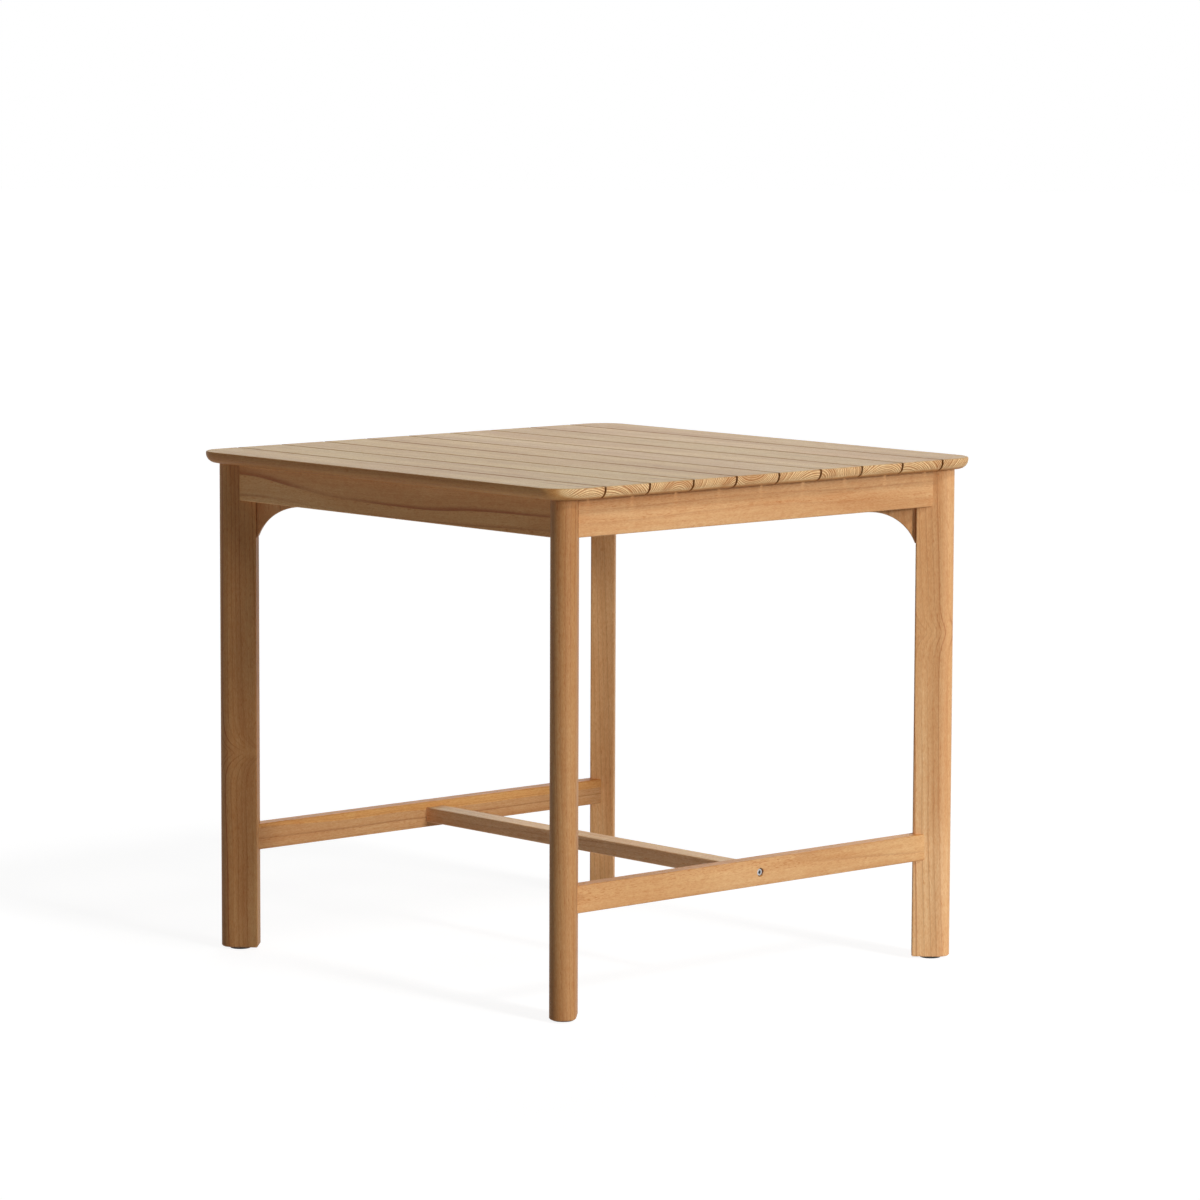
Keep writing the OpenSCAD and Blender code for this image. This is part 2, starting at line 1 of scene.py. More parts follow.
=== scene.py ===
# %% [markdown]
# # A slatted bar table in teak
# The table is built already: every slat, rail, leg and screw came from the CAD model as its own solid,
# in metres. Blender's job is how it looks. We load those solids, stand a camera where the photographer
# stood, set up plain studio light, give each board its own piece of a teak log, and model the small
# metal parts in full detail.

# %% Load the table
import math
import bpy
from mathutils import Matrix, Vector


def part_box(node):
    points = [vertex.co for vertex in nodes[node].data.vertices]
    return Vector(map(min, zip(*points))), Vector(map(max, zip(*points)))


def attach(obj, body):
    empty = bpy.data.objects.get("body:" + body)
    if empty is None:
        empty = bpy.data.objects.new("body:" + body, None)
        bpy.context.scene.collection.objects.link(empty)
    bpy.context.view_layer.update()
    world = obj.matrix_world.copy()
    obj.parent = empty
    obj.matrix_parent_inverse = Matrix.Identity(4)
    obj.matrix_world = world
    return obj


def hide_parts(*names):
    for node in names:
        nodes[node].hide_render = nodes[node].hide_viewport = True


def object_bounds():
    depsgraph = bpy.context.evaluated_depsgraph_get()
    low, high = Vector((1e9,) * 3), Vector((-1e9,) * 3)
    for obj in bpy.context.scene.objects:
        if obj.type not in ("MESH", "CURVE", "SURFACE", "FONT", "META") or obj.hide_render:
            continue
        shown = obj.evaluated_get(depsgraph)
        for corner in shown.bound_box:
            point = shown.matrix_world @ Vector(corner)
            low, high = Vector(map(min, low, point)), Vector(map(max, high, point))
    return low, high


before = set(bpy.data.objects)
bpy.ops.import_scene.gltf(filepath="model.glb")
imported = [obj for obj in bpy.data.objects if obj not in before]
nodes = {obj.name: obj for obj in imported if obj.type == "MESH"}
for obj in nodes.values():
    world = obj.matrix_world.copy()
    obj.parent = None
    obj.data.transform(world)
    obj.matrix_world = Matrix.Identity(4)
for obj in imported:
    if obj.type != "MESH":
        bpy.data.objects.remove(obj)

cad_low, cad_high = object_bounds()
top_width, top_height = cad_high.x - cad_low.x, cad_high.z
print(len(nodes), "pieces, top", round(top_width, 4), "m wide and", round(top_height, 4), "m high")

# %% [markdown]
# ## The camera
# A photograph of furniture is often taken from far away with a long lens, so that upright legs stay
# upright. The values here were worked out from the corners of the top and the legs: about nine metres
# away, a 150 mm lens, and almost exactly along the table's diagonal. A camera in Blender looks along
# its own minus Z, so we build its three directions by hand and give them to it as one matrix. That
# leaves no rounding from angles.

# %% Camera
camera_turn = math.radians(48.065)
camera_rise = math.radians(6.609)
camera_tilt = math.radians(0.210)
camera_reach = 9.086765
camera_aim = Vector((0.017647, 0.019720, 0.642551))
camera_lens = 151.567

backward = Vector((
    math.sin(camera_turn) * math.cos(camera_rise),
    -math.cos(camera_turn) * math.cos(camera_rise),
    math.sin(camera_rise),
))
level_right = (-backward).cross(Vector((0, 0, 1))).normalized()
level_up = level_right.cross(-backward)
camera_right = level_right * math.cos(camera_tilt) + level_up * math.sin(camera_tilt)
camera_up = level_up * math.cos(camera_tilt) - level_right * math.sin(camera_tilt)

camera_data = bpy.data.cameras.new("long_lens")
camera_data.lens = camera_lens
camera_data.sensor_width = 36
camera_data.clip_end = 200
camera = bpy.data.objects.new("photographer", camera_data)
bpy.context.collection.objects.link(camera)
camera.matrix_world = Matrix.Translation(camera_aim + backward * camera_reach) @ Matrix(
    (camera_right, camera_up, backward)
).transposed().to_4x4()
bpy.context.scene.camera = camera
bpy.context.scene.view_settings.view_transform = "Standard"
print("camera", [round(value, 3) for value in camera.location], "lens", camera_lens, "mm")

# %% [markdown]
# ## Helpers for nodes
# A material in Blender is a small machine of nodes, and long ones are easier to read as steps than as
# clicks. These helpers add a node or two each and join them to what came before: `put` for any node,
# and short names for the few kinds that the wood uses again and again. Colours are written as a paint
# chart gives them, 0 to 255, and turned into the linear numbers that the renderer counts with.

# %% Node helpers
def linear(value):
    share = value / 255
    return share / 12.92 if share <= 0.04045 else ((share + 0.055) / 1.055) ** 2.4


def shade(red, green, blue):
    return (linear(red), linear(green), linear(blue), 1)


def fresh_tree(owner):
    """The empty node tree of a material or a world."""
    owner.use_nodes = True
    owner.node_tree.nodes.clear()
    return owner.node_tree


def put(tree, kind, sockets=None, **settings):
    """Adds a node. A socket is given another node's output, which is linked, or a plain value."""
    made = tree.nodes.new(kind)
    for key, value in settings.items():
        setattr(made, key, value)
    for key, value in (sockets or {}).items():
        if isinstance(value, bpy.types.NodeSocket):
            tree.links.new(value, made.inputs[key])
        else:
            made.inputs[key].default_value = value
    return made


def sums(tree, operation, first, second=0.0, clamp=False):
    made = put(tree, "ShaderNodeMath", {0: first, 1: second}, operation=operation, use_clamp=clamp)
    return made.outputs[0]


def times(tree, *values):
    product = values[0]
    for value in values[1:]:
        product = sums(tree, "MULTIPLY", product, value)
    return product


def plus(tree, *values):
    total = values[0]
    for value in values[1:]:
        total = sums(tree, "ADD", total, value)
    return total


def vectors(tree, operation, first, second=(0, 0, 0)):
    made = put(tree, "ShaderNodeVectorMath", {0: first, 1: second}, operation=operation)
    return made.outputs["Value" if operation in ("LENGTH", "DOT_PRODUCT") else "Vector"]


def between(tree, value, low, high, out_low=0.0, out_high=1.0):
    """A soft step: out_low under low, out_high over high, and an S curve between them."""
    sockets = {"Value": value, "From Min": low, "From Max": high, "To Min": out_low, "To Max": out_high}
    return put(tree, "ShaderNodeMapRange", sockets, interpolation_type="SMOOTHSTEP").outputs["Result"]


def clouds(tree, place, stretch, detail=2.0, roughness=0.5, colour=False):
    """Noise whose cells are 1 / stretch metres long in each direction."""
    spread = vectors(tree, "MULTIPLY", place, stretch)
    sockets = {"Vector": spread, "Scale": 1.0, "Detail": detail, "Roughness": roughness}
    return put(tree, "ShaderNodeTexNoise", sockets).outputs["Color" if colour else "Fac"]


def blend_colours(tree, share, first, second, kind="MIX"):
    """A Mix node has sockets for each type of data. Inputs 6 and 7 and output 2 are the colours."""
    sockets = {0: share, 6: first, 7: second}
    return put(tree, "ShaderNodeMix", sockets, data_type="RGBA", blend_type=kind).outputs[2]


print("node helpers ready")

# %% [markdown]
# ## Floor and background
# The photograph shows the table on white. A large disc is the floor. To the lamps it is matt and pale,
# so it throws light up under the rails as a real studio floor does. To the camera it is lifted most of
# the way to white, and still keeps a soft shadow under the table. From below it is clear, so the
# underside can be looked at. The world does the same with the Light Path node: white for the camera and
# for reflections, and only a faint glow for everything that it lights.

# %% Floor
white_light = (1, 1, 1, 1)
floor_paint = (0.86, 0.86, 0.855, 1)
floor_radius = 40
floor_drop = 0.0004
floor_lift = 0.72
floor_white = 1.0
camera_extra = 0.26


def looked_at(tree):
    """1 for a ray that looks: from the camera, by way of a mirror, or through glass."""
    path = put(tree, "ShaderNodeLightPath").outputs
    mirrored = sums(tree, "MAXIMUM", path["Is Camera Ray"], path["Is Glossy Ray"])
    return sums(tree, "MAXIMUM", mirrored, path["Is Transmission Ray"])


bpy.ops.object.select_all(action="DESELECT")
bpy.ops.mesh.primitive_circle_add(
    vertices=96, radius=floor_radius, fill_type="NGON", location=(0, 0, -floor_drop)
)
floor = bpy.context.object
floor.name = "studio_floor"
bpy.ops.object.transform_apply(location=True, rotation=False, scale=False)

floor_finish = bpy.data.materials.new("pale_floor")
tree = fresh_tree(floor_finish)
matt = put(tree, "ShaderNodeBsdfDiffuse", {"Color": floor_paint})
to_camera = put(tree, "ShaderNodeLightPath").outputs["Is Camera Ray"]
strength = plus(tree, times(tree, to_camera, camera_extra), floor_white)
white = put(tree, "ShaderNodeEmission", {"Color": white_light, "Strength": strength})
lift = times(tree, looked_at(tree), floor_lift)
lifted = put(tree, "ShaderNodeMixShader", {0: lift, 1: matt.outputs[0], 2: white.outputs[0]})
under = put(tree, "ShaderNodeNewGeometry").outputs["Backfacing"]
clear = put(tree, "ShaderNodeBsdfTransparent")
one_way = put(tree, "ShaderNodeMixShader", {0: under, 1: lifted.outputs[0], 2: clear.outputs[0]})
put(tree, "ShaderNodeOutputMaterial", {"Surface": one_way.outputs[0]})
floor.data.materials.append(floor_finish)
print("floor of", floor_radius, "m radius, lifted", floor_lift, "of the way to white")

# %% World
world_glow = 0.02
world = bpy.data.worlds.new("studio")
bpy.context.scene.world = world
tree = fresh_tree(world)
glow = put(tree, "ShaderNodeBackground", {"Color": white_light, "Strength": world_glow})
white = put(tree, "ShaderNodeBackground", {"Color": white_light, "Strength": 1.0})
mixed = put(tree, "ShaderNodeMixShader", {0: looked_at(tree), 1: glow.outputs[0], 2: white.outputs[0]})
put(tree, "ShaderNodeOutputWorld", {"Surface": mixed.outputs[0]})
print("world white to look at, and a glow of", world_glow, "on the table")

# %% [markdown]
# ## Lamps
# The shadows in the photograph tell where the light was. The sides to the right are bright and those to
# the left dark, so the main light is low on the right. Three lamps at rising heights act as one tall
# window there, and a weak one stands a little further round. A wide one behind the table skims the top
# and keeps the sides that face away from going black. Each is a sun lamp with a wide disc, which gives
# the soft edge of a big studio window and lights the floor evenly. `level` is what a white card facing
# the lamp would show, so 1 is white.

# %% Lamps
lamp_distance = 6


def lamp(name, turn, rise, level, width):
    """turn is measured from +X towards the camera's side, rise above the floor, width the lamp's disc."""
    turn, rise = math.radians(turn), math.radians(rise)
    data = bpy.data.lights.new(name, "SUN")
    data.energy = math.pi * level
    data.angle = math.radians(width)
    made = bpy.data.objects.new(name, data)
    bpy.context.collection.objects.link(made)
    towards = Vector((math.cos(turn) * math.cos(rise), -math.sin(turn) * math.cos(rise), math.sin(rise)))
    made.rotation_mode = "QUATERNION"
    made.rotation_quaternion = towards.to_track_quat("Z", "Y")
    made.location = towards * lamp_distance


lamp("window_right_low", 0, 12, 0.42, 7)
lamp("window_right_middle", -8, 22, 0.16, 9)
lamp("window_right_high", -2, 41, 0.27, 8)
lamp("window_far_right", -30, 20, 0.06, 20)
lamp("window_behind_left", -135, 30, 0.18, 40)
print("five soft lamps")

# %% [markdown]
# ## Teak, as a solid
# Wood isn't a picture glued on a board. It is the inside of a log: a stack of yearly rings, one round
# another, and a board shows whatever part of that stack the saw went through. So we describe the log in
# three dimensions and let every board cut it. The same rings then run over an edge, down a side and out
# as arcs at the end of each slat, with no seams anywhere. The group below takes a place inside the log,
# with the grain along X and the pith (the middle of the trunk) on the X axis, and gives colour,
# roughness and a bumped surface.

# %% The teak group and what goes into it
teak = bpy.data.node_groups.new("teak_log", "ShaderNodeTree")
for name, kind in (
    ("Place", "Vector"), ("Grain", "Vector"), ("Knot", "Vector"), ("Knot size", "Float"),
    ("Pale", "Color"), ("Tan", "Color"), ("Brown", "Color"),
    ("Ring width", "Float"), ("Wander", "Float"), ("Figure", "Float"),
    ("Upper", "Color"), ("Side shade", "Color"), ("Lit band", "Color"), ("Lit band reach", "Float"),
):
    teak.interface.new_socket(name, in_out="INPUT", socket_type="NodeSocket" + kind)
for name, kind in (("Colour", "Color"), ("Roughness", "Float"), ("Normal", "Vector")):
    teak.interface.new_socket(name, in_out="OUTPUT", socket_type="NodeSocket" + kind)
given = put(teak, "NodeGroupInput").outputs
print("teak group takes", len(given) - 1, "values")

# %% [markdown]
# A trunk is never a true cylinder. It leans and swells, so its rings wander slowly along the grain, and
# where a branch grew they bulge round it and leave a knot. The wander is a long, slow noise that moves
# the place before it is measured. The bulge takes a little off the distance from the pith near the
# branch, and dies out within a few centimetres.

# %% Wandering rings and the branch swirl
wander_stretch = (1.1, 5.0, 5.0)
branch_shape = (1.0, 0.30, 0.30)
branch_bulge = 2.2
least_knot = 0.0001
off_the_grain = (0, 1, 1)

slow = clouds(teak, given["Place"], wander_stretch, detail=2.5, roughness=0.45, colour=True)
slow = vectors(teak, "SUBTRACT", slow, (0.5, 0.5, 0.5))
sway = put(teak, "ShaderNodeVectorMath", {0: slow, "Scale": given["Wander"]}, operation="SCALE")
sideways = vectors(teak, "MULTIPLY", sway.outputs["Vector"], off_the_grain)
wandered = vectors(teak, "ADD", given["Place"], sideways)
from_knot = vectors(teak, "MULTIPLY", vectors(teak, "SUBTRACT", wandered, given["Knot"]), branch_shape)
knot_size = sums(teak, "MAXIMUM", given["Knot size"], least_knot)
knot_reach = sums(teak, "DIVIDE", vectors(teak, "LENGTH", from_knot), knot_size)
knot_fall = sums(teak, "EXPONENT", times(teak, knot_reach, -1.0))
bulge = times(teak, knot_fall, knot_size, branch_bulge)
from_pith = vectors(teak, "LENGTH", vectors(teak, "MULTIPLY", wandered, off_the_grain))
ring_radius = sums(teak, "SUBTRACT", from_pith, bulge)
print("rings wander and bulge where a branch grew")

# %% [markdown]
# Teak grows quickly after the rains and slowly later. Each year starts with a line of large open pores
# and ends in a thin dark line. Dry and wet years differ, so ring widths do too. The ring number is the
# distance from the pith divided by the ring width, stirred by a noise that depends only on that
# distance. Its fraction runs from 0 to 1 through each year, and a steep curve of it leaves the dark
# line. Broader bands of heartwood tone follow the same rings. A band of painted light can also be laid
# on a board: up to a reach from the pith it takes the band's tint, with an edge that follows the rings.

# %% Growth rings
untinted = (1, 1, 1, 1)
lit_band_edge = 0.0008
stir_rate, stir_years = 0.30, 2.0
band_rate = 0.16
ring_count = sums(teak, "DIVIDE", ring_radius, given["Ring width"])


def ring_noise(rate, detail=1.0, roughness=0.5):
    """Noise that changes from ring to ring and is the same all the way round one."""
    sockets = {"W": times(teak, ring_count, rate), "Scale": 1.0, "Detail": detail, "Roughness": roughness}
    return put(teak, "ShaderNodeTexNoise", sockets, noise_dimensions="1D").outputs["Fac"]


ring_age = plus(teak, ring_count, times(teak, ring_noise(stir_rate), stir_years))
year = sums(teak, "FRACT", ring_age)
weather = put(teak, "ShaderNodeTexWhiteNoise", {"W": sums(teak, "FLOOR", ring_age)}, noise_dimensions="1D")
dryness = between(teak, weather.outputs["Value"], 0.30, 0.95, 0.20, 1.0)
dryness = sums(teak, "MAXIMUM", dryness, between(teak, knot_reach, 3.5, 1.0, 0.0, 0.8))
fading = between(teak, clouds(teak, wandered, (2.2, 16, 16), detail=1.0), 0.36, 0.60, 0.30, 1.0)
late_line = times(teak, between(teak, year, 0.74, 0.93), between(teak, year, 1.0, 0.95), dryness, fading)
late_rise = between(teak, year, 0.0, 1.0)
early_wood = between(teak, year, 0.30, 0.02)
heart = between(teak, ring_noise(band_rate, detail=2.0, roughness=0.55), 0.40, 0.72)
# Painted light: inside its reach from the pith the board takes the tint of a band of light.
past_lit_band = sums(teak, "SUBTRACT", ring_radius, given["Lit band reach"])
lit_band_tint = blend_colours(teak, between(teak, past_lit_band, lit_band_edge, -lit_band_edge), untinted, given["Lit band"])
print("growth rings with early wood, late lines, heartwood bands and a core")

# %% [markdown]
# Along the grain the wood is made of fibres and long open pores. A noise stretched a hundred times
# along X gives the fibres, and a second one, kept only where it is strongest, gives pores: short dark
# strokes a few millimetres long and a few tenths wide. Seen from the end they are dots, without any
# extra work.

# %% Fibres, pores and slow changes of tone
pores_all_year, pores_early = 0.4, 0.6
fibres = clouds(teak, wandered, (6, 700, 700), detail=3.0, roughness=0.65)
streaks = clouds(teak, wandered, (3.2, 130, 130), detail=4.0, roughness=0.6)
flecks = clouds(teak, wandered, (170, 620, 620), detail=2.0, roughness=0.6)
ripple = clouds(teak, wandered, (60, 110, 110), detail=3.0, roughness=0.65)
blush = clouds(teak, wandered, (2.4, 26, 26), detail=2.0)
pore_field = clouds(teak, wandered, (95, 950, 950), detail=1.0)
pore_share = plus(teak, times(teak, early_wood, pores_early), pores_all_year)
pores = times(teak, between(teak, pore_field, 0.57, 0.68), pore_share)
tone = clouds(teak, wandered, (1.8, 11, 11), detail=3.0)
print("fibres, streaks, flecks, ripple, pores and tone")

# %% [markdown]
# The open ends of the fibres make end grain duller than a face, and on this table the cut ends are
# paler, with clear arcs. How far a surface faces along the grain is the size of the dot product of its
# normal and the grain direction: 1 on an end, 0 on a face. The height of the normal tells upper faces
# from the rest, and each gets a tint of its own. On the slats that is painted light: a painted sheen
# makes the upper faces khaki, and painted shade keeps the sides, the walls of the gaps and the
# undersides brown.

# %% End grain and upper faces
cut_end_tint = (1.43, 1.60, 1.84, 1)
facing = put(teak, "ShaderNodeNewGeometry").outputs["Normal"]
along_grain = sums(teak, "ABSOLUTE", vectors(teak, "DOT_PRODUCT", facing, given["Grain"]))
end_share = between(teak, along_grain, 0.62, 0.90)
upturned = between(teak, put(teak, "ShaderNodeSeparateXYZ", {0: facing}).outputs["Z"], 0.60, 0.95)
# Painted sheen on upper faces and painted shade on the others: the Upper tint above, the side tint on the
# rest.
face_tint = blend_colours(teak, upturned, given["Side shade"], given["Upper"])
board_tint = blend_colours(teak, between(teak, along_grain, 0.50, 0.88), face_tint, cut_end_tint)
print("masks for end grain and for upper faces ready")

# %% [markdown]
# Now the colour. Three tones are mixed: a pale one, the usual tan, and the brown of late wood and
# heartwood. Each step is weak by itself, because real teak is quiet. On the cut ends the rings count
# for more, which draws the arcs, and in the middle of a knot they fade.

# %% Three tones
late_weight, heart_weight = 0.60, 0.24
rise_on_face, rise_on_end = 0.07, 0.42
end_pale, end_emphasis, knot_fade = 0.6, 1.4, 0.8

paler_end = sums(teak, "SUBTRACT", 1.0, times(teak, end_share, end_pale))
tan_share = times(teak, between(teak, tone, 0.34, 0.66), paler_end)
warm = blend_colours(teak, tan_share, given["Pale"], given["Tan"])
rise_weight = plus(teak, rise_on_face, times(teak, end_share, rise_on_end))
rings_drawn = plus(teak, times(teak, late_line, late_weight), times(teak, heart, heart_weight))
rings_drawn = plus(teak, rings_drawn, times(teak, late_rise, rise_weight))
end_boost = plus(teak, 1.0, times(teak, end_share, end_emphasis))
knot_heart = between(teak, knot_reach, 0.55, 0.15)
knot_pale = sums(teak, "SUBTRACT", 1.0, times(teak, knot_heart, knot_fade))
brown_share = times(teak, given["Figure"], end_boost, rings_drawn)
brown_share = sums(teak, "MULTIPLY", brown_share, knot_pale, clamp=True)
figured = blend_colours(teak, brown_share, warm, given["Brown"])
print("pale, tan and brown mixed")

# %% [markdown]
# Fibres, flecks and pores then make the tone a little lighter or darker. Wood gets warmer as it gets
# darker, so the same level works weakly on red and strongly on blue, which the three powers do. A slow
# blush turns some stretches redder. Roughness rises in pores and on end grain. The bump sinks the pores
# and raises the late-wood lines, both by less than a tenth of a millimetre.

# %% Light and dark marks
warming = (0.5, 1.1, 1.6)
blush_tint = (0.99, 0.90, 0.80, 1)
blush_share, pore_dark = 0.22, 0.36

level = times(
    teak,
    between(teak, streaks, 0.30, 0.70, 1.055, 0.94),
    between(teak, fibres, 0.30, 0.70, 1.05, 0.95),
    sums(teak, "SUBTRACT", 1.0, times(teak, pores, pore_dark)),
    between(teak, flecks, 0.30, 0.70, 1.085, 0.91),
    between(teak, ripple, 0.30, 0.70, 0.96, 1.04),
)
channels = {number: sums(teak, "POWER", level, power) for number, power in enumerate(warming)}
warm_level = put(teak, "ShaderNodeCombineXYZ", channels).outputs[0]
flush = times(teak, between(teak, blush, 0.38, 0.66), blush_share)
reddened = blend_colours(teak, flush, figured, blush_tint, kind="MULTIPLY")
shaded = vectors(teak, "MULTIPLY", reddened, warm_level)
# board_tint also carries the painted sheen of upper faces and the painted shade of the other faces, and the
# second tint is a painted band of light.
for tint in (board_tint, lit_band_tint):
    shaded = vectors(teak, "MULTIPLY", shaded, tint)
print("marks, blush and tints laid over the tones")

# %% Roughness and relief
sanded, fibre_rough, pore_rough, end_rough = 0.45, 0.14, 0.15, 0.12
fibre_rise, late_ridge = 0.6, 0.35
bump = {"Strength": 0.35, "Distance": 0.00025}

rough = plus(teak, sanded, times(teak, fibres, fibre_rough), times(teak, pores, pore_rough))
rough = sums(teak, "ADD", rough, times(teak, end_share, end_rough), clamp=True)
relief = sums(teak, "SUBTRACT", times(teak, fibres, fibre_rise), pores)
relief = plus(teak, relief, times(teak, late_line, late_ridge))
bumped = put(teak, "ShaderNodeBump", {**bump, "Height": relief})
put(teak, "NodeGroupOutput", {"Colour": shaded, "Roughness": rough, "Normal": bumped.outputs["Normal"]})
print("teak group has", len(teak.nodes), "nodes")

# %% [markdown]
# ## Sawing the boards
# Each board gets its own material, because each came from another place in a log. The material turns
# the board's own length onto X, moves the pith a few centimetres to one side of it, and tips it by
# about a degree. The tip is what makes the pointed arches on a face: the saw cuts through the rings at
# a slant. A Mapping node does all three, and reads Object coordinates, which stay put because every
# object sits at the origin. Boards also differ in tint, as boards from several trees do, and some tints
# paint light and shade onto a whole board, brightening some and darkening others.

# %% A board cut from the log
teak_tones = {
    "top": (shade(214, 180, 128), shade(197, 157, 106), shade(152, 98, 54)),
    "frame": (shade(226, 176, 122), shade(209, 153, 99), shade(160, 93, 49)),
    "inner": (shade(198, 150, 98), shade(178, 128, 78), shade(122, 76, 40)),
}
lengthwise, crosswise, upright = (1, 0, 0), (0, 1, 0), (0, 0, 1)
usual_rings = 0.0062
usual_sway = 0.034
no_change = (1.0, 1.0, 1.0)


def timber(
    name, node, along, pith, tip=(0.0, 0.0), tones="frame", figure=1.0, knot=None, knot_size=0.0,
    rings=usual_rings, sway=usual_sway, start=0.0,
    tint=no_change, upper=no_change, sheltered=no_change, core=no_change, core_reach=0.0,
):
    """A teak material for one CAD node.

    along is the grain, pith how far beside the board the log's middle is, tip the saw's slant in degrees,
    start how far up the log the board begins, and figure how strongly the rings are drawn. rings and
    sway are the ring width and how far the rings wander, in metres. The upper tint goes on upper faces
    and the side tint on the rest, which on the slats is painted sheen and painted shade. The core tint is
    a painted band of light out to its reach from the pith.
    """
    low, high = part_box(node)
    middle = (Vector(low) + Vector(high)) / 2
    grain = Vector(along).normalized()
    side = Vector(upright).cross(grain) if abs(grain.z) < 0.9 else Vector(crosswise)
    side = side.normalized()
    turn = Matrix((grain, side, grain.cross(side)))
    slant = Matrix.Rotation(math.radians(tip[0]), 3, "Y") @ Matrix.Rotation(math.radians(tip[1]), 3, "Z")
    tipped = slant @ turn
    shift = Vector((start, -pith[0], -pith[1])) - tipped @ middle
    finish = bpy.data.materials.new("teak_" + name)
    tree = fresh_tree(finish)
    spot = put(tree, "ShaderNodeTexCoord").outputs["Object"]
    place = {"Vector": spot, "Location": shift, "Rotation": tipped.to_euler("XYZ")}
    wood = tree.nodes.new("ShaderNodeGroup")
    wood.node_tree = teak
    tree.links.new(put(tree, "ShaderNodeMapping", place).outputs[0], wood.inputs["Place"])
    own = {
        "Grain": grain, "Knot size": knot_size, "Ring width": rings, "Wander": sway, "Figure": figure,
        "Upper": upper + (1,), "Side shade": sheltered + (1,), "Lit band": core + (1,), "Lit band reach": core_reach,
    }
    if knot is not None:
        own["Knot"] = tipped @ Vector(knot) + shift
    for socket, colour in zip(("Pale", "Tan", "Brown"), teak_tones[tones]):
        own[socket] = tuple(value * part for value, part in zip(colour, tint)) + (1,)
    for socket, value in own.items():
        wood.inputs[socket].default_value = value
    shader = put(tree, "ShaderNodeBsdfPrincipled", {
        "Base Color": wood.outputs["Colour"], "Roughness": wood.outputs["Roughness"],
        "Normal": wood.outputs["Normal"], "Specular IOR Level": 0.22,
    })
    put(tree, "ShaderNodeOutputMaterial", {"Surface": shader.outputs[0]})
    return finish


def sawn(node, along, pith, tip=(0.0, 0.0), **more):
    """Puts a board's own teak on its solid."""
    finish = timber(node, node, along, pith, tip, **more)
    for place in nodes[node].material_slots:
        place.material = finish


print("boards can be sawn")

# %% [markdown]
# ## The slatted top
# The ten slats run along X. Their ends show at the right-hand edge of the photograph, each with its own
# arcs: some slats were sawn beside the pith and have tight arcs, others far out and have nearly
# straight lines. Every upper face has a tint of its own: partly the slat's own tone, partly a painted
# sheen that makes the top pale khaki. Painted shade turns the sides and the gap walls a deeper brown.

# %% Ten slats
slat_boards = (  # pith, tip, tint of the upper face
    ((0.030, -0.055), (0.6, 0.9), (0.94, 0.96, 0.84)),
    ((-0.045, -0.070), (-0.8, 0.5), (0.92, 0.92, 0.76)),
    ((0.012, -0.034), (1.1, -0.6), (0.98, 1.00, 0.82)),
    ((0.065, -0.030), (0.5, 1.2), (1.00, 1.00, 0.82)),
    ((-0.020, 0.050), (-1.0, -0.8), (1.03, 1.03, 0.86)),
    ((0.038, -0.062), (0.9, 0.4), (1.09, 1.12, 1.12)),
    ((-0.060, -0.028), (0.7, -1.1), (1.11, 1.12, 1.04)),
    ((0.008, -0.040), (-0.5, 0.9), (1.05, 1.06, 0.95)),
    ((-0.032, -0.075), (1.2, 0.3), (1.12, 1.11, 1.08)),
    ((0.052, -0.045), (-0.7, -0.5), (1.06, 1.03, 0.94)),
)
# Painted shade: this tint darkens the slats' sides, gap walls and undersides.
painted_side_shade = (0.935, 0.705, 0.505)
for number, (pith, tip, upper_tone_and_sheen) in enumerate(slat_boards, start=1):
    sawn(f"slat_{number:02d}", lengthwise, pith, tip, tones="top", figure=0.85, rings=0.0036,
         start=1.7 * number, upper=upper_tone_and_sheen, sheltered=painted_side_shade)
print("ten slats, each from its own place in the log")

# %% [markdown]
# ## The frame
# Legs are sawn with the grain upright, rails with the grain along them. The right-hand leg of the
# photograph has the tall arches of a board cut close to the bark and swirls round a branch high up. The
# left-hand leg has such a swirl lower down. The front apron has long dark waves. Those come from wider
# rings, a larger wander and stronger figure, not from another texture. The orange strip along the left
# stretcher's upper edge and top is painted light: low light above the right-hand stretcher's shadow.

# %% Legs and knee blocks
down_corners = {"front_left": (-1, -1), "front_right": (1, -1), "back_right": (1, 1), "back_left": (-1, 1)}
# Painted light and shade over each leg's own tone: the tints brighten the back legs and darken the front
# legs.
leg_boards = {
    "front_left": {"pith": (-0.055, 0.050), "figure": 1.1, "sway": 0.045, "tint": (0.85, 0.83, 0.76),
                   "knot": (-0.413, -0.4456, 0.362), "knot_size": 0.018},
    "front_right": {"pith": (0.04, -0.05), "figure": 0.8, "tint": (0.70, 0.65, 0.57)},
    "back_right": {"pith": (-0.050, 0.060), "figure": 1.05, "sway": 0.050, "tint": (1.22, 1.37, 1.55),
                   "knot": (0.437, 0.4045, 0.592), "knot_size": 0.015, "rings": 0.0105},
    "back_left": {"pith": (-0.05, 0.04), "figure": 0.55, "tint": (1.25, 1.31, 1.35)},
}
for number, corner in enumerate(down_corners):
    board = {"rings": 0.008, "tip": (1.2, 0.7), "start": 3.1 + 2.3 * number, **leg_boards[corner]}
    sawn("leg_" + corner, upright, **board)
    sawn("knee_" + corner, upright, (0.03, 0.06), (0.8, -0.6), figure=0.8, tint=(0.95, 0.93, 0.94),
         start=11.3 + 1.9 * number)
print("four legs and four knee blocks sawn")

